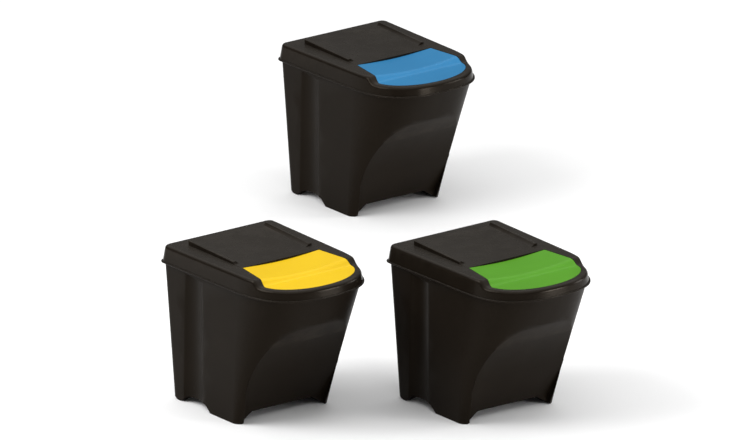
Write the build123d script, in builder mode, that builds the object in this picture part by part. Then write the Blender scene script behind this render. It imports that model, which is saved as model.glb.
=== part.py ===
from build123d import *
import os

# Three identical stackable sorting bins standing on one floor. Each bin is a tub, a lid
# and a tinted flap that swings up out of the lid. The bins face -Y, Z is up, millimetres.

# ---- driving dimensions of one bin ----
WIDTH = 286.0            # across the lip of the lid
BACK = 195.0             # rear edge of the lip
FRONT = -197.0           # foremost point of the lip
RIM_Z = 291.0            # underside of the lip
DECK_Z = 327.0           # flat top of the lid
RAIL_Z = 336.5           # top of the two stacking rails, at the rear
RAIL_FRONT_Z = 332.0     # and at their front ends
WALL = 2.5               # moulded wall
FRONT_TAPER = 5.0        # how much narrower each side is where the round front starts
SIDE_END = -60.0         # where the straight sides end and the bowed front starts
SIDE_PULL = 112.0        # how far the front's curve keeps to the sides' direction
FRONT_PULL = 85.0        # how far it keeps to the straight across the front
REAR_CORNER = 20.0       # plan radius of the rear corners
CORNER_SHRINK = 0.7      # how much the rear corners tighten per millimetre of inset
FRONT_SHRINK = 0.5       # the same for the pull across the front
OVERCUT = 300.0          # longer than any cut has to reach
BELOW = -10.0            # level below the feet that cuts start from

# ---- tub ----
TUB_INSET = 7.5          # the tub's wall under the lip, in from the lip
COLLAR_INSET = 10.0      # the upstanding rim that goes up inside the lid
COLLAR_TOP = 304.0
FLOOR_Z = 20.0           # underside of the tub's floor, above the feet
BASE_HALF = 117.0        # half width at the feet
BASE_BACK = 182.0
BASE_FRONT = -46.0
BASE_SIDE_END = -20.0
BASE_TAPER = 1.0
BASE_CORNER = 16.0
BASE_SIDE_PULL = 20.0
BASE_FRONT_PULL = 96.0
RIM_CORNER = 15.0        # the same four at the rim
RIM_SIDE_PULL = 106.0
RIM_FRONT_PULL = 82.0
FEET_HALF = 104.0        # inner side of the feet at the floor
FEET_TOP_HALF = 75.0     # inner side of the feet where they meet the tub's floor
FOOT_GAP = (54.0, 152.0)       # gap between the front and the back foot, at the floor
FOOT_GAP_TOP = (70.0, 134.0)   # the same at its top
FOOT_GAP_SLOPE = 4.0
FOOT_GAP_HEIGHT = 15.0
FOOT_GAP_ROUND = 12.0
HEEL_START = 162.0       # the back feet rise from here to the rear wall
HEEL_END = 200.0
HEEL_RISE = 14.0
FLUTE_RADIUS = 72.0
FLUTE_DEPTH = 9.0
FLUTE_TOP_Y = 84.0
FLUTE_FOOT_Y = 110.0
FLUTE_TOP_Z = 278.0
SCOOP_LEG_FOOT = 101.0   # half width of the scoop at the floor
SCOOP_LEG_KNEE = 111.0   # half width of the scoop from the knee upwards
SCOOP_KNEE_Z = 75.0
SCOOP_TOP_Z = 232.0
SCOOP_TOP_Y = -165.0
SCOOP_BEND_Y = -71.0
SCOOP_BEND_Z = 103.0
SCOOP_FOOT_Y = -32.0
SCOOP_WALL_BACK = 0.96   # direction square to the scoop's sloping wall: back
SCOOP_WALL_UP = 0.56     # and up
SCOOP_LEG_TOP = 260.0
SCOOP_FAR = -290.0

# ---- lid ----
LIP = 3.0                # height of the lip and how far it stands out
LIP_ROUND = 1.2
DECK_INSET = 8.0
DECK_ROUND = 8.0
SHOULDER_Y = -98.0       # where the top starts to fall towards the front rim
FRONT_RIM_Y = -123.0     # where that fall ends
FRONT_RIM_Z = 314.0
FRONT_RIM_FALL = 2.1     # the rim's own slope out to its edge and beyond
FALL_END_SLOPE = 0.03
DISH_RADIUS = 1050.0     # the panel and the flap are one shallow trough
DISH_SLOPE = 0.028       # falling towards the front
DISH_REAR_Y = 150.0
DISH_REAR_Z = 327.8
RAIL_HALF = 98.0         # outer face of the rails
RAIL_FRONT = 0.0
RAIL_TOP_WIDTH = 3.5
RAIL_FOOT = 18.0         # width of the hollowed inner side of a rail
RAIL_START_SLOPE = 0.15
RAIL_ROUND = 1.2
RAIL_SNOUT = 6.0         # the rails' front ends slope down over this length
PANEL_FRONT = -25.5
RIB_GAP = 0.2            # between the lid's inner ring and the tub's rim
OVERLAP = 1.0            # how far joined shapes run into each other

# ---- flap and its hinge ----
HINGE_Y = -31.0
HINGE_Z = 324.0
PIN_RADIUS = 1.6
PIN_FIT = 0.05
PIN_REACH = 4.5
BARREL_RADIUS = 3.1      # rounded rear edge of the flap, about the hinge's axis
FLAP_REAR_HALF = 95.0
FLAP_FRONT_HALF = 109.0
FLAP_SIDE_END = -122.0
FLAP_FRONT = -180.0
CREASE_ROUND = 18.0      # where the flap's dish turns down to the front rim
FLAP_BOTTOM_Z = 312.5    # underside of the flap at the hinge
FLAP_GAP = 0.8
POCKET_BACK = -27.4
FLAP_CORNER_IN = 5.0     # the front edge turns in from the flap's corners by this much
FLAP_CORNER_PULL = 28.0
FLAP_FRONT_PULL = 64.0
SEAT_GAP = 0.3
SEAT_WIDTH = 8.0
TRAY_WALL = 2.0
TRAY_HEIGHT = 20.0
SOCKET_LENGTH = 11.0     # block round each hinge pin
SOCKET_HEIGHT = 6.0
SOCKET_DROP = 0.5
SOCKET_REACH = 7.0
SOCKET_END_GAP = 0.4

# ---- where the three bins stand, before the set is centred ----
SPOTS = {"yellow": (0.0, 0.0), "green": (361.0, -272.0), "blue": (971.0, 910.0)}


def plan_outline(rear_half, front_half, back, side_end, front, corner, side_reach, front_reach):
    """Closed plan outline: straight back and sides, round rear corners, bowed front."""
    diagonal = corner * 0.5 ** 0.5
    lean = (rear_half - front_half) / (back - corner - side_end)
    with BuildSketch() as outline:
        with BuildLine():
            Line((0, back), (rear_half - corner, back))
            ThreePointArc(
                (rear_half - corner, back),
                (rear_half - corner + diagonal, back - corner + diagonal),
                (rear_half, back - corner),
            )
            Line((rear_half, back - corner), (front_half, side_end))
            Bezier(
                (front_half, side_end),
                (front_half - lean * side_reach, side_end - side_reach),
                (front_reach, front),
                (0, front),
            )
            mirror(about=Plane.YZ)
        make_face()
    return outline.sketch


def rim_outline(inset):
    """The lid's outline, moved in by inset."""
    half = WIDTH / 2 - inset
    return plan_outline(
        half, half - FRONT_TAPER, BACK - inset, SIDE_END, FRONT + inset,
        REAR_CORNER - inset * CORNER_SHRINK, SIDE_PULL - inset, FRONT_PULL - inset * FRONT_SHRINK,
    )


def tub_outline(height, inset):
    """The tub's outline at a height, straight from the feet to the rim, moved in by inset."""
    share = height / RIM_Z

    def between(base, top):
        return base + (top - base) * share

    top_half = WIDTH / 2 - TUB_INSET
    return plan_outline(
        between(BASE_HALF, top_half) - inset,
        between(BASE_HALF - BASE_TAPER, top_half - FRONT_TAPER) - inset,
        between(BASE_BACK, BACK - TUB_INSET) - inset,
        between(BASE_SIDE_END, SIDE_END),
        between(BASE_FRONT, FRONT + TUB_INSET) + inset,
        between(BASE_CORNER, RIM_CORNER) - inset,
        between(BASE_SIDE_PULL, RIM_SIDE_PULL) - inset,
        between(BASE_FRONT_PULL, RIM_FRONT_PULL) - inset,
    )


def flute_pair(grow):
    """Two tilted cylinders that hollow the flute into each side of the tub."""
    reach = FLUTE_RADIUS - FLUTE_DEPTH
    foot = Vector(-(BASE_HALF + reach), FLUTE_FOOT_Y, BELOW)
    top = Vector(-(WIDTH / 2 - TUB_INSET + reach), FLUTE_TOP_Y, FLUTE_TOP_Z)
    axis = top - foot
    with BuildPart(Plane(origin=foot, z_dir=axis)) as flute:
        Cylinder(
            FLUTE_RADIUS + grow, axis.length + grow,
            align=(Align.CENTER, Align.CENTER, Align.MIN),
        )
    with BuildPart() as pair:
        add(flute.part)
        mirror(flute.part, about=Plane.YZ)
    return pair.part


def front_scoop(grow):
    """The arched hollow in the tub's front: a curve seen from the side, two legs from the front."""
    back_shift = grow * SCOOP_WALL_BACK
    up_shift = grow * SCOOP_WALL_UP
    with BuildPart() as scoop:
        with BuildSketch(Plane.XZ):
            with BuildLine():
                Polyline(
                    (0, BELOW), (SCOOP_LEG_FOOT + grow, BELOW), (SCOOP_LEG_FOOT + grow, 0),
                    (SCOOP_LEG_KNEE + grow, SCOOP_KNEE_Z), (SCOOP_LEG_KNEE + grow, SCOOP_LEG_TOP),
                    (0, SCOOP_LEG_TOP),
                )
                mirror(about=Plane.YZ)
            make_face()
        extrude(amount=OVERCUT)
        with BuildSketch(Plane.YZ):
            with BuildLine():
                foot = (SCOOP_FOOT_Y + back_shift, FLOOR_Z)
                bend = (SCOOP_BEND_Y + back_shift, SCOOP_BEND_Z + up_shift)
                crown = (SCOOP_TOP_Y + back_shift, SCOOP_TOP_Z + up_shift)
                wall = Line(foot, bend)
                TangentArc(bend, crown, tangent=wall % 1)
                Polyline(
                    crown, (SCOOP_FAR, SCOOP_TOP_Z + up_shift), (SCOOP_FAR, BELOW), (foot[0], BELOW), foot,
                )
            make_face()
        extrude(amount=OVERCUT, both=True, mode=Mode.INTERSECT)
    return scoop.part


def tub_cavity():
    """The space inside the tub, with the wall left round the scoop and the flutes."""
    with BuildPart() as cavity:
        with BuildSketch(Plane.XY.offset(FLOOR_Z + WALL)):
            add(tub_outline(FLOOR_Z + WALL, WALL))
        with BuildSketch(Plane.XY.offset(RIM_Z - WALL)):
            add(tub_outline(RIM_Z - WALL, WALL))
        loft(ruled=True)
        with BuildSketch(Plane.XY.offset(RIM_Z - WALL - OVERLAP)):
            add(rim_outline(COLLAR_INSET + WALL))
        extrude(amount=COLLAR_TOP - RIM_Z + WALL + 2 * OVERLAP)
        add(front_scoop(WALL), mode=Mode.SUBTRACT)
        add(flute_pair(WALL), mode=Mode.SUBTRACT)
    return cavity.part


def make_tub():
    """Open tub with feet, side flutes, front scoop and an upstanding rim."""
    with BuildPart() as tub:
        with BuildSketch(Plane.XY):
            add(tub_outline(0.0, 0.0))
        with BuildSketch(Plane.XY.offset(RIM_Z)):
            add(tub_outline(RIM_Z, 0.0))
        loft(ruled=True)
        with BuildSketch(Plane.XY.offset(RIM_Z)):
            add(rim_outline(COLLAR_INSET))
        extrude(amount=COLLAR_TOP - RIM_Z)
        add(front_scoop(0.0), mode=Mode.SUBTRACT)
        add(flute_pair(0.0), mode=Mode.SUBTRACT)
        # clear space under the floor, between the left and the right feet
        with BuildSketch(Plane.XZ):
            Polygon(
                (-FEET_HALF, 0), (-FEET_TOP_HALF, FLOOR_Z), (FEET_TOP_HALF, FLOOR_Z), (FEET_HALF, 0),
                (FEET_HALF, BELOW), (-FEET_HALF, BELOW), align=None,
            )
        extrude(amount=OVERCUT, both=True, mode=Mode.SUBTRACT)
        # gap between the long front foot and the short back foot on each side
        with BuildSketch(Plane.YZ):
            Polygon(
                (FOOT_GAP[0] - FOOT_GAP_SLOPE, BELOW), (FOOT_GAP[0], 0), (FOOT_GAP_TOP[0], FOOT_GAP_HEIGHT),
                (FOOT_GAP_TOP[1], FOOT_GAP_HEIGHT), (FOOT_GAP[1], 0), (FOOT_GAP[1] + FOOT_GAP_SLOPE, BELOW),
                align=None,
            )
            fillet(vertices().group_by(Axis.Y)[-1], radius=FOOT_GAP_ROUND)
        extrude(amount=OVERCUT, both=True, mode=Mode.SUBTRACT)
        # the back feet rise towards the rear wall
        with BuildSketch(Plane.YZ):
            Polygon(
                (HEEL_START, 0), (HEEL_END, HEEL_RISE), (HEEL_END, BELOW), (HEEL_START, BELOW), align=None,
            )
        extrude(amount=OVERCUT, both=True, mode=Mode.SUBTRACT)
        add(tub_cavity(), mode=Mode.SUBTRACT)
    return tub.part


def above_front(drop):
    """Everything above the S-shaped fall from the deck to the lower front rim."""
    with BuildPart() as space:
        with BuildSketch(Plane.YZ):
            with BuildLine():
                fall = Spline(
                    (SHOULDER_Y, DECK_Z - drop),
                    ((SHOULDER_Y + FRONT_RIM_Y) / 2, (DECK_Z + FRONT_RIM_Z) / 2 - drop),
                    (FRONT_RIM_Y, FRONT_RIM_Z - drop),
                    tangents=((-1, 0), (-1, -FALL_END_SLOPE)),
                )
                end = FRONT + 2 * BELOW
                Polyline(
                    fall @ 1, (end, FRONT_RIM_Z - FRONT_RIM_FALL - drop), (end, OVERCUT + DECK_Z),
                    (SHOULDER_Y, OVERCUT + DECK_Z), fall @ 0,
                )
            make_face()
        extrude(amount=OVERCUT, both=True)
    return space.part


def dish(grow):
    """The sloping cylinder whose underside is the trough of the panel and the flap."""
    centre = Vector(0, DISH_REAR_Y, DISH_REAR_Z + DISH_RADIUS)
    with BuildPart(Plane(origin=centre, z_dir=(0, -1, -DISH_SLOPE))) as roll:
        Cylinder(DISH_RADIUS + grow, 2 * OVERCUT)
    return roll.part


def flap_outline(grow, back):
    """Plan outline of the flap, moved out by grow, with its rear edge at back."""
    with BuildSketch() as outline:
        with BuildLine():
            Line((0, back), (FLAP_REAR_HALF + grow, back))
            Line((FLAP_REAR_HALF + grow, back), (FLAP_FRONT_HALF + grow, FLAP_SIDE_END))
            Bezier(
                (FLAP_FRONT_HALF + grow, FLAP_SIDE_END),
                (FLAP_FRONT_HALF + grow - FLAP_CORNER_IN, FLAP_SIDE_END - FLAP_CORNER_PULL),
                (FLAP_FRONT_PULL, FLAP_FRONT - grow),
                (0, FLAP_FRONT - grow),
            )
            mirror(about=Plane.YZ)
        make_face()
    return outline.sketch


def flap_plane(drop):
    """The sloping plane of the flap's underside, lowered by drop."""
    height = FLAP_BOTTOM_Z - HINGE_Y * DISH_SLOPE - drop
    return Plane(origin=(0, 0, height), x_dir=(1, 0, 0), z_dir=(0, -DISH_SLOPE, 1))


def on_skirt(edge):
    """Whether an upper edge of the lid's block runs along the skirt, outside the flap."""
    middle = edge @ 0.5
    return abs(middle.X) > FLAP_FRONT_HALF or middle.Y > DISH_REAR_Y or middle.Y < FLAP_FRONT


def skirt_and_top(foot, inset):
    """The lid's block from the level of foot to its top, moved in by inset, with a round top edge."""
    with BuildPart() as block:
        with BuildSketch(Plane.XY.offset(foot)):
            add(rim_outline(LIP + inset))
        with BuildSketch(Plane.XY.offset(DECK_Z - inset)):
            add(rim_outline(DECK_INSET + inset))
        loft(ruled=True)
        add(above_front(inset), mode=Mode.SUBTRACT)
        upper = block.edges().filter_by(lambda edge: edge.bounding_box().min.Z > foot + OVERLAP)
        fillet(upper.filter_by(on_skirt), radius=DECK_ROUND - inset)
    return block.part


def lip_plate():
    """The lid's lip as a full plate with a rounded rim."""
    with BuildPart() as plate:
        with BuildSketch(Plane.XY.offset(RIM_Z)):
            add(rim_outline(0.0))
        extrude(amount=LIP)
        levels = plate.edges().group_by(Axis.Z)
        fillet(levels[0] + levels[-1], radius=LIP_ROUND)
    return plate.part


def lid_cavity():
    """The space under the lid's wall."""
    with BuildPart() as cavity:
        add(skirt_and_top(RIM_Z - OVERLAP, WALL))
        add(dish(WALL), mode=Mode.SUBTRACT)
    return cavity.part


def seating_rib():
    """Ring under the lid that rests on the tub's rim."""
    foot = COLLAR_TOP + RIB_GAP
    with BuildPart() as rib:
        with BuildSketch(Plane.XY.offset(foot)):
            add(rim_outline(COLLAR_INSET))
            add(rim_outline(COLLAR_INSET + WALL), mode=Mode.SUBTRACT)
        extrude(amount=DECK_Z - foot)
        add(skirt_and_top(RIM_Z, OVERLAP), mode=Mode.INTERSECT)
    return rib.part


def mouth_tray():
    """Wall and ledge round the mouth, with the sockets for the flap's pins."""
    with BuildPart() as tray:
        with BuildSketch(flap_plane(SEAT_GAP + TRAY_WALL)):
            add(flap_outline(FLAP_GAP + TRAY_WALL, POCKET_BACK + TRAY_WALL))
        extrude(amount=TRAY_HEIGHT)
        add(above_front(OVERLAP), mode=Mode.SUBTRACT)
        add(dish(OVERLAP), mode=Mode.SUBTRACT)
        with BuildSketch(Plane.YZ):
            with Locations((HINGE_Y, HINGE_Z - SOCKET_DROP)):
                Rectangle(SOCKET_LENGTH, SOCKET_HEIGHT)
        extrude(amount=FLAP_REAR_HALF + SOCKET_REACH, both=True)
    return tray.part


def on_crest(edge):
    """Whether an edge is the long outer edge along the top of a rail."""
    low = edge.bounding_box().min.Z
    return low > DECK_Z + OVERLAP and abs((edge @ 0.5).X) > RAIL_HALF - OVERLAP and edge.length > RAIL_FOOT


def make_rails():
    """Raised dished panel with a stacking rail along each side."""
    length = DISH_REAR_Y - PANEL_FRONT
    with BuildPart() as panel:
        with BuildSketch(Plane.XY.offset(DECK_Z - OVERLAP)):
            with Locations((0, PANEL_FRONT + length / 2)):
                Rectangle(2 * RAIL_HALF, length)
        extrude(amount=RAIL_Z - DECK_Z + OVERLAP)
        add(dish(0.0), mode=Mode.SUBTRACT)
    with BuildPart() as rails:
        add(panel.part)
        for side in (-1, 1):
            with BuildSketch(Plane.XZ.offset(-DISH_REAR_Y)):
                inner = RAIL_HALF - RAIL_TOP_WIDTH
                with BuildLine():
                    TangentArc(
                        (side * (inner - RAIL_FOOT), DECK_Z - WALL), (side * inner, RAIL_Z),
                        tangent=(side, RAIL_START_SLOPE),
                    )
                    Polyline(
                        (side * inner, RAIL_Z), (side * RAIL_HALF, RAIL_Z),
                        (side * RAIL_HALF, DECK_Z - WALL), (side * (inner - RAIL_FOOT), DECK_Z - WALL),
                    )
                make_face()
            extrude(amount=DISH_REAR_Y - RAIL_FRONT)
        # the rails' tops fall towards the front, and the panel's edge sinks into the deck before them
        with BuildSketch(Plane.YZ):
            Polygon(
                (DISH_REAR_Y, RAIL_Z), (RAIL_FRONT, RAIL_FRONT_Z),
                (RAIL_FRONT - RAIL_SNOUT, DECK_Z + OVERLAP), (PANEL_FRONT - RAIL_SNOUT, DECK_Z),
                (PANEL_FRONT - RAIL_SNOUT, DECK_Z + OVERCUT), (DISH_REAR_Y, DECK_Z + OVERCUT),
                align=None,
            )
        extrude(amount=OVERCUT, both=True, mode=Mode.SUBTRACT)
        fillet(rails.edges().filter_by(on_crest), radius=RAIL_ROUND)
    return rails.part


def make_lid():
    """Lid with lip, skirt, deck, lower front rim, stacking rails and the flap's mouth."""
    with BuildPart() as lid:
        add(skirt_and_top(RIM_Z + LIP, 0.0))
        add(lip_plate())
        add(make_rails())
        add(dish(0.0), mode=Mode.SUBTRACT)
        add(lid_cavity(), mode=Mode.SUBTRACT)
        add(make_rails())
        add(seating_rib())
        add(mouth_tray())
        with BuildSketch(flap_plane(SEAT_GAP)):
            add(flap_outline(FLAP_GAP, POCKET_BACK))
        extrude(amount=2 * TRAY_HEIGHT, mode=Mode.SUBTRACT)
        with BuildSketch(flap_plane(TRAY_HEIGHT)):
            add(flap_outline(-SEAT_WIDTH, POCKET_BACK))
        extrude(amount=3 * TRAY_HEIGHT, mode=Mode.SUBTRACT)
        with BuildSketch(Plane.YZ):
            with Locations((HINGE_Y, HINGE_Z)):
                Circle(PIN_RADIUS + PIN_FIT)
        extrude(amount=FLAP_REAR_HALF + PIN_REACH + SOCKET_END_GAP, both=True, mode=Mode.SUBTRACT)
    return lid.part


def flap_inside():
    """The hollow under the flap's panel."""
    with BuildPart() as hollow:
        with BuildSketch(flap_plane(OVERLAP)):
            add(flap_outline(-WALL, HINGE_Y - WALL))
        extrude(amount=TRAY_HEIGHT)
        add(above_front(WALL), mode=Mode.SUBTRACT)
        add(dish(WALL), mode=Mode.SUBTRACT)
    return hollow.part


def on_crease(edge):
    """Whether an edge of the flap's top runs where the dish turns down to the front rim."""
    middle = edge @ 0.5
    return (
        OVERLAP < abs(middle.X) < FLAP_REAR_HALF
        and FRONT_RIM_Y < middle.Y < SHOULDER_Y
        and middle.Z > FRONT_RIM_Z + OVERLAP
    )


def make_flap():
    """Dished flap with a rim underneath and a stub pin at each rear corner."""
    with BuildPart() as flap:
        with BuildSketch(flap_plane(0.0)):
            add(flap_outline(0.0, HINGE_Y))
        extrude(amount=TRAY_HEIGHT)
        with BuildSketch(Plane.YZ):
            with Locations((HINGE_Y, HINGE_Z)):
                Circle(BARREL_RADIUS)
        extrude(amount=FLAP_REAR_HALF, both=True)
        add(above_front(0.0), mode=Mode.SUBTRACT)
        add(dish(0.0), mode=Mode.SUBTRACT)
        fillet(flap.edges().filter_by(on_crease), radius=CREASE_ROUND)
        add(flap_inside(), mode=Mode.SUBTRACT)
        # a stub pin at each end of the rounded rear edge
        for side in (-1, 1):
            with BuildSketch(Plane.YZ.offset(side * (FLAP_REAR_HALF - WALL))):
                with Locations((HINGE_Y, HINGE_Z)):
                    Circle(PIN_RADIUS)
            extrude(amount=side * (PIN_REACH + WALL))
    return flap.part


def main():
    os.makedirs("parts", exist_ok=True)
    pieces = {"tub": make_tub(), "lid": make_lid(), "flap": make_flap()}
    spots_x = [x for x, y in SPOTS.values()]
    spots_y = [y for x, y in SPOTS.values()]
    centre_x = (min(spots_x) + max(spots_x)) / 2
    centre_y = (min(spots_y) + FRONT + max(spots_y) + BACK) / 2
    for colour, (x, y) in SPOTS.items():
        for name, piece in pieces.items():
            with BuildPart() as placed:
                with Locations((x - centre_x, y - centre_y, 0)):
                    add(piece)
            placed.part.label = f"{colour}_{name}"
            export_step(placed.part, f"parts/{colour}_{name}.step")


main()
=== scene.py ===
from math import cos, radians, sin

import bmesh
import bpy
from mathutils import Matrix, Vector


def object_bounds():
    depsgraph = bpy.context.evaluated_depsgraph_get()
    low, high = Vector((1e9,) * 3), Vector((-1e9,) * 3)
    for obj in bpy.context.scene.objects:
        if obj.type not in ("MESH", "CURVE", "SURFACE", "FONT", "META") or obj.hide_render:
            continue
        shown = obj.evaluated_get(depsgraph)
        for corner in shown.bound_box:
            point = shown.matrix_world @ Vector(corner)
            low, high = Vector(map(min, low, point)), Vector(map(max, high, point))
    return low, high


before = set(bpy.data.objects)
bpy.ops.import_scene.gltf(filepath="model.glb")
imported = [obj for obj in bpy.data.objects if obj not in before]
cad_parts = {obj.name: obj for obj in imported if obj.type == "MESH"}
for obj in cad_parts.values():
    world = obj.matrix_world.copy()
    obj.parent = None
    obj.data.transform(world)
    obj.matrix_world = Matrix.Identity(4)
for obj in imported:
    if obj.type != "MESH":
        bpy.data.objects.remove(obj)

COLOURS = ("yellow", "green", "blue")
CAD_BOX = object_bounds()

# ---- the look, in metres and degrees ----
VIEW_AZIMUTH = -37.0
VIEW_ELEVATION = 18.5
VIEW_DISTANCE = 36.0
VIEW_WIDTH = 1.525          # how much of the set's plane the frame takes in
SENSOR_WIDTH = 36.0
AIM_RIGHT = 0.009           # the aim's shift from the middle of the set, across the view and up it
AIM_UP = 0.047
CLIP_NEAR = 0.5
CLIP_FAR = 200.0
TUB_EDGE = 0.0010           # width of the soft edges
FLAP_EDGE = 0.0004
EDGE_SEGMENTS = 3
WELD_DISTANCE = 0.0001      # corners of neighbouring faces that count as one
SHARP_ANGLE = 35.0          # edges that turn more than this are softened
AREA_WEIGHT = 60            # how strongly large faces set the shading of their edges
SKY_STRENGTH = 0.16
OVERHEAD_STRENGTH = 2.3
OVERHEAD_SPREAD = 110.0
OVERHEAD_HEIGHT = 4.0
LIGHT_AIM = (0.0, 0.0, 0.2)
SOFT_LIGHTS = (             # name, place, size, power
    ("left_light", (-3.0, 0.7, 2.8), 2.4, 105),
    ("right_light", (3.6, -2.0, 1.2), 1.4, 50),
    ("low_front_light", (1.9, -3.9, 0.7), 1.0, 70),
)
FLOOR_HALF = 30.0
FLOOR_DARK = (0.90, 0.90, 0.90, 1.0)
FLOOR_LIGHT = (0.94, 0.94, 0.94, 1.0)
FLOOR_ROUGHNESS = 0.9
FLOOR_GLOSS = 0.2
FIBRE_SCALE = 300.0

# ---- the moulded surface: how fine each pattern is, and how deep, in metres ----
GRAIN_SCALE = 1400.0
GRAIN_DEPTH = 0.00025
WAVE_SCALE = 9.0
WAVE_DEPTH = 0.0012
WAVE_STRENGTH = 0.25
CLOUD_SCALE = 38.0
SCRATCH_SCALE = 420.0
SCRATCH_DEPTH = 0.0001
SCRATCH_STRENGTH = 0.12
SCRATCH_TURN = (0.3, 0.5, 0.9)
SCRATCH_STRETCH = (1.0, 1.0, 0.06)
SCRATCH_BAND = (0.69, 0.74)         # noise values where a scratch starts and is full
CORNER_BAND = (0.515, 0.60)         # pointiness where an edge starts to rub and is bare
UPWARD_DUST_AND_LIGHT_BAND = (0.55, 1.0)           # upward slope where the dusting and the painted top light start and are full
ROUGHNESS_DRIFT = 0.02
# grey that dusts upward faces; on the lid it is mostly painted top light
DUST_AND_TOP_LIGHT_COLOUR = (0.30, 0.28, 0.25, 1.0)
PLASTIC_IOR = 1.49
BROWN_SHEEN = (1.0, 0.86, 0.70)
CLEAR_SHEEN = (1.0, 1.0, 1.0)

# ---- sockets of the colour Mix node, which have no names of their own ----
MIX_A = 6
MIX_B = 7
MIX_RESULT = 2


# ---------------------------------------------------------------- shader helpers
def new_material(name):
    """An empty node material with a Principled shader: the material, its tree and the shader."""
    material = bpy.data.materials.new(name)
    material.use_nodes = True
    tree = material.node_tree
    tree.nodes.clear()
    shader = tree.nodes.new("ShaderNodeBsdfPrincipled")
    output = tree.nodes.new("ShaderNodeOutputMaterial")
    tree.links.new(shader.outputs["BSDF"], output.inputs["Surface"])
    return material, tree, shader


def add_node(tree, kind, inputs=None, **settings):
    """A node with its settings and the values or links of its inputs."""
    node = tree.nodes.new(kind)
    for key, value in settings.items():
        setattr(node, key, value)
    for key, value in (inputs or {}).items():
        if isinstance(value, bpy.types.NodeSocket):
            tree.links.new(value, node.inputs[key])
        else:
            node.inputs[key].default_value = value
    return node


def ramp(tree, value, low, high, out_low=0.0, out_high=1.0):
    """The value stretched from low..high to out_low..out_high, and held at the ends."""
    node = add_node(tree, "ShaderNodeMapRange", {
        "Value": value, "From Min": low, "From Max": high, "To Min": out_low, "To Max": out_high,
    })
    node.clamp = True
    return node.outputs["Result"]


def mix_colours(tree, factor, first, second):
    """The first colour turned into the second one by the factor."""
    node = add_node(tree, "ShaderNodeMix", {
        "Factor": factor, MIX_A: first, MIX_B: second,
    }, data_type="RGBA")
    return node.outputs[MIX_RESULT]


def calculate(tree, operation, first, second):
    """The result of a Math node with two values."""
    return add_node(tree, "ShaderNodeMath", {0: first, 1: second}, operation=operation).outputs[0]


def moulded_surface_group():
    """Moulded plastic's fine grain, slow waviness, rubbed edges, scratches, and a dusting with
    painted top light on upward faces.
    """
    group = bpy.data.node_groups.new("moulded_surface", "ShaderNodeTree")
    # the third input and the third output carry the dusting together with the painted top light
    for label in ("Grain", "Wear", "Dust and top light"):
        group.interface.new_socket(name=label, in_out="INPUT", socket_type="NodeSocketFloat")
    outs = (
        ("Roughness shift", "NodeSocketFloat"),
        ("Edge", "NodeSocketFloat"),
        ("Dust and top light", "NodeSocketFloat"),
        ("Mottle", "NodeSocketFloat"),
        ("Normal", "NodeSocketVector"),
    )
    for label, kind in outs:
        group.interface.new_socket(name=label, in_out="OUTPUT", socket_type=kind)
    start = group.nodes.new("NodeGroupInput")
    end = group.nodes.new("NodeGroupOutput")
    place = add_node(group, "ShaderNodeTexCoord").outputs["Object"]
    grain = add_node(group, "ShaderNodeTexNoise", {
        "Vector": place, "Scale": GRAIN_SCALE, "Detail": 3.0, "Roughness": 0.6,
    }).outputs["Fac"]
    flow = add_node(group, "ShaderNodeTexNoise", {
        "Vector": place, "Scale": WAVE_SCALE, "Detail": 2.0, "Roughness": 0.5,
    }).outputs["Fac"]
    cloud = add_node(group, "ShaderNodeTexNoise", {
        "Vector": place, "Scale": CLOUD_SCALE, "Detail": 5.0, "Roughness": 0.62,
    }).outputs["Fac"]
    stretched = add_node(group, "ShaderNodeMapping", {
        "Vector": place, "Rotation": SCRATCH_TURN, "Scale": SCRATCH_STRETCH,
    }).outputs["Vector"]
    lines = add_node(group, "ShaderNodeTexNoise", {
        "Vector": stretched, "Scale": SCRATCH_SCALE, "Detail": 2.0, "Roughness": 0.5,
    }).outputs["Fac"]
    scratches = ramp(group, lines, *SCRATCH_BAND)
    geometry = add_node(group, "ShaderNodeNewGeometry")
    corner = ramp(group, geometry.outputs["Pointiness"], *CORNER_BAND)
    patchy = calculate(group, "MULTIPLY", corner, ramp(group, cloud, 0.38, 0.62))
    rubbed = calculate(group, "MULTIPLY", patchy, start.outputs["Wear"])
    normal = geometry.outputs["Normal"]
    # Upward faces get a dusting that is mostly painted top light: a lighter colour and more
    # roughness where faces point up.
    upward = add_node(group, "ShaderNodeSeparateXYZ", {"Vector": normal}).outputs["Z"]
    facing_up = ramp(group, upward, *UPWARD_DUST_AND_LIGHT_BAND)
    uneven_cover = ramp(group, cloud, 0.35, 0.75, 0.75, 1.0)
    dust_and_top_light_mask = calculate(group, "MULTIPLY", facing_up, uneven_cover)
    dust_and_top_light_mask = calculate(group, "MULTIPLY", dust_and_top_light_mask, start.outputs["Dust and top light"])
    fine = add_node(group, "ShaderNodeBump", {
        "Strength": start.outputs["Grain"], "Distance": GRAIN_DEPTH, "Height": grain,
    }).outputs["Normal"]
    wavy = add_node(group, "ShaderNodeBump", {
        "Strength": WAVE_STRENGTH, "Distance": WAVE_DEPTH, "Height": flow, "Normal": fine,
    }).outputs["Normal"]
    scratched = add_node(group, "ShaderNodeBump", {
        "Strength": SCRATCH_STRENGTH, "Distance": SCRATCH_DEPTH,
        "Height": scratches, "Normal": wavy,
    }).outputs["Normal"]
    uneven = ramp(group, cloud, 0.3, 0.7, -ROUGHNESS_DRIFT, ROUGHNESS_DRIFT)
    shift = calculate(group, "ADD", uneven, dust_and_top_light_mask)
    group.links.new(shift, end.inputs["Roughness shift"])
    group.links.new(rubbed, end.inputs["Edge"])
    group.links.new(dust_and_top_light_mask, end.inputs["Dust and top light"])
    group.links.new(flow, end.inputs["Mottle"])
    group.links.new(scratched, end.inputs["Normal"])
    return group


MOULDED = moulded_surface_group()


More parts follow.
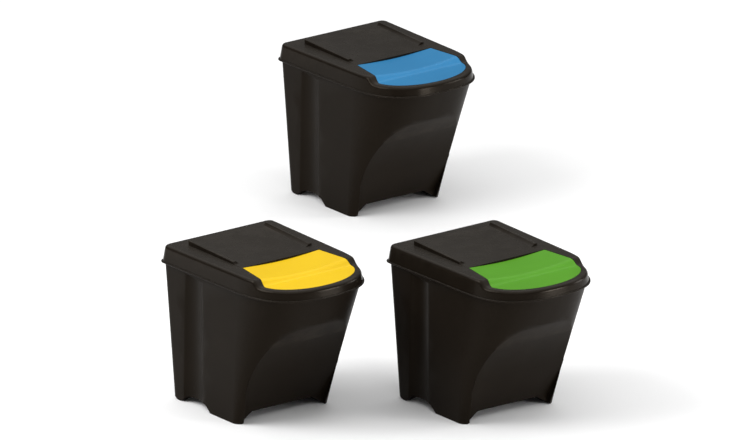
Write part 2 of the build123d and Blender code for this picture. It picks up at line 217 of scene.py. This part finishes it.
def plastic(name, colour, deep, worn, sheen, roughness, gloss, grain, wear, dust_and_top_light):
    """Moulded plastic: colour drifting towards deep, rubbed edges in worn, a dusting and painted
    top light on upward faces.
    """
    material, tree, shader = new_material(name)
    surface = add_node(tree, "ShaderNodeGroup")
    surface.node_tree = MOULDED
    surface.inputs["Grain"].default_value = grain
    surface.inputs["Wear"].default_value = wear
    surface.inputs["Dust and top light"].default_value = dust_and_top_light
    mottle = ramp(tree, surface.outputs["Mottle"], 0.3, 0.7)
    body = mix_colours(tree, mottle, (*deep, 1.0), (*colour, 1.0))
    rubbed = mix_colours(tree, surface.outputs["Edge"], body, (*worn, 1.0))
    # lighten the upward faces with the dusting and painted top light
    dusted_and_top_lit = mix_colours(tree, surface.outputs["Dust and top light"], rubbed, DUST_AND_TOP_LIGHT_COLOUR)
    rough = calculate(tree, "ADD", surface.outputs["Roughness shift"], roughness)
    tree.links.new(dusted_and_top_lit, shader.inputs["Base Color"])
    tree.links.new(rough, shader.inputs["Roughness"])
    tree.links.new(surface.outputs["Normal"], shader.inputs["Normal"])
    shader.inputs["IOR"].default_value = PLASTIC_IOR
    shader.inputs["Specular IOR Level"].default_value = gloss
    shader.inputs["Specular Tint"].default_value = (*sheen, 1.0)
    return material


def plastics():
    """The five plastics of the set."""
    return {
        "tub": plastic(
            "tub_plastic", colour=(0.0100, 0.0073, 0.0050), deep=(0.0082, 0.0060, 0.0041),
            worn=(0.060, 0.050, 0.040), sheen=BROWN_SHEEN,
            roughness=0.38, gloss=0.045, grain=0.14, wear=0.8, dust_and_top_light=0.004,
        ),
        # the lid's large dusting weight mainly paints top light onto its deck
        "lid": plastic(
            "lid_plastic", colour=(0.0098, 0.0073, 0.0051), deep=(0.0082, 0.0061, 0.0043),
            worn=(0.030, 0.024, 0.018), sheen=BROWN_SHEEN,
            roughness=0.22, gloss=0.085, grain=0.05, wear=0.3, dust_and_top_light=0.060,
        ),
        "yellow": plastic(
            "yellow_plastic", colour=(0.74, 0.485, 0.005), deep=(0.70, 0.455, 0.004),
            worn=(0.82, 0.60, 0.06), sheen=CLEAR_SHEEN,
            roughness=0.34, gloss=0.18, grain=0.10, wear=0.3, dust_and_top_light=0.006,
        ),
        "green": plastic(
            "green_plastic", colour=(0.080, 0.285, 0.012), deep=(0.072, 0.260, 0.010),
            worn=(0.17, 0.46, 0.06), sheen=CLEAR_SHEEN,
            roughness=0.34, gloss=0.20, grain=0.10, wear=0.3, dust_and_top_light=0.006,
        ),
        "blue": plastic(
            "blue_plastic", colour=(0.024, 0.190, 0.395), deep=(0.021, 0.172, 0.365),
            worn=(0.09, 0.33, 0.60), sheen=CLEAR_SHEEN,
            roughness=0.32, gloss=0.20, grain=0.10, wear=0.3, dust_and_top_light=0.006,
        ),
    }


def dress(obj, material):
    """The object's only material."""
    obj.data.materials.clear()
    obj.data.materials.append(material)


def soften(obj, width):
    """Round the moulding's edges: close its seams, bevel what is sharp, shade by area."""
    weld = obj.modifiers.new("close_seams", "WELD")
    weld.merge_threshold = WELD_DISTANCE
    bevel = obj.modifiers.new("soft_edges", "BEVEL")
    bevel.width = width
    bevel.segments = EDGE_SEGMENTS
    bevel.limit_method = "ANGLE"
    bevel.angle_limit = radians(SHARP_ANGLE)
    bevel.use_clamp_overlap = False
    shading = obj.modifiers.new("even_shading", "WEIGHTED_NORMAL")
    shading.weight = AREA_WEIGHT


def dress_bins():
    """Each moulding in its own plastic; the lids' edges are round as they come."""
    coats = plastics()
    for colour in COLOURS:
        dress(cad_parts[f"{colour}_tub"], coats["tub"])
        dress(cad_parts[f"{colour}_lid"], coats["lid"])
        dress(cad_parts[f"{colour}_flap"], coats[colour])
        soften(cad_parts[f"{colour}_tub"], TUB_EDGE)
        soften(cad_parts[f"{colour}_flap"], FLAP_EDGE)


# ---------------------------------------------------------------- stage
def make_floor():
    """Plain pale floor that reaches far past the set."""
    mesh = bpy.data.meshes.new("floor")
    shape = bmesh.new()
    bmesh.ops.create_grid(shape, x_segments=1, y_segments=1, size=FLOOR_HALF)
    shape.to_mesh(mesh)
    shape.free()
    floor = bpy.data.objects.new("floor", mesh)
    bpy.context.scene.collection.objects.link(floor)
    material, tree, shader = new_material("floor_paper")
    place = add_node(tree, "ShaderNodeTexCoord").outputs["Object"]
    fibre = add_node(tree, "ShaderNodeTexNoise", {
        "Vector": place, "Scale": FIBRE_SCALE, "Detail": 3.0,
    }).outputs["Fac"]
    tone = mix_colours(tree, fibre, FLOOR_DARK, FLOOR_LIGHT)
    tree.links.new(tone, shader.inputs["Base Color"])
    shader.inputs["Roughness"].default_value = FLOOR_ROUGHNESS
    shader.inputs["Specular IOR Level"].default_value = FLOOR_GLOSS
    mesh.materials.append(material)


def soft_light(name, place, size, power):
    """A square area light at place, turned towards the set."""
    data = bpy.data.lights.new(name, "AREA")
    data.shape = "SQUARE"
    data.size = size
    data.energy = power
    light = bpy.data.objects.new(name, data)
    light.location = place
    towards_set = Vector(LIGHT_AIM) - Vector(place)
    light.rotation_euler = towards_set.to_track_quat("-Z", "Y").to_euler()
    bpy.context.scene.collection.objects.link(light)


def overhead_light(strength, spread):
    """Light straight from above that is the same everywhere on the floor."""
    data = bpy.data.lights.new("overhead_light", "SUN")
    data.energy = strength
    data.angle = radians(spread)
    light = bpy.data.objects.new("overhead_light", data)
    light.location = (0.0, 0.0, OVERHEAD_HEIGHT)
    bpy.context.scene.collection.objects.link(light)


def set_sky(strength):
    """Even white surroundings."""
    world = bpy.data.worlds.new("surroundings")
    world.use_nodes = True
    sky = world.node_tree.nodes["Background"]
    sky.inputs["Color"].default_value = (1.0, 1.0, 1.0, 1.0)
    sky.inputs["Strength"].default_value = strength
    bpy.context.scene.world = world


def view_axes(azimuth, elevation):
    """Unit vectors from the set to the camera, to the camera's right and to its top."""
    a, e = radians(azimuth), radians(elevation)
    back = Vector((sin(a) * cos(e), -cos(a) * cos(e), sin(e)))
    right = Vector((cos(a), sin(a), 0.0))
    return back, right, back.cross(right)


def make_camera():
    """Long lens on the middle of the set."""
    back, right, top = view_axes(VIEW_AZIMUTH, VIEW_ELEVATION)
    data = bpy.data.cameras.new("camera")
    data.sensor_width = SENSOR_WIDTH
    data.lens = SENSOR_WIDTH * VIEW_DISTANCE / VIEW_WIDTH
    data.clip_start = CLIP_NEAR
    data.clip_end = CLIP_FAR
    camera = bpy.data.objects.new("camera", data)
    low, high = CAD_BOX
    middle = Vector([(a + b) / 2 for a, b in zip(low, high)])
    aim = middle + right * AIM_RIGHT + top * AIM_UP
    spot = aim + back * VIEW_DISTANCE
    camera.matrix_world = Matrix((
        (right.x, top.x, back.x, spot.x),
        (right.y, top.y, back.y, spot.y),
        (right.z, top.z, back.z, spot.z),
        (0.0, 0.0, 0.0, 1.0),
    ))
    bpy.context.scene.collection.objects.link(camera)
    bpy.context.scene.camera = camera


def main():
    dress_bins()
    make_floor()
    make_camera()
    bpy.context.scene.view_settings.view_transform = "Standard"
    set_sky(SKY_STRENGTH)
    overhead_light(OVERHEAD_STRENGTH, OVERHEAD_SPREAD)
    for name, place, size, power in SOFT_LIGHTS:
        soft_light(name, place, size, power)
    bpy.context.view_layer.update()


main()
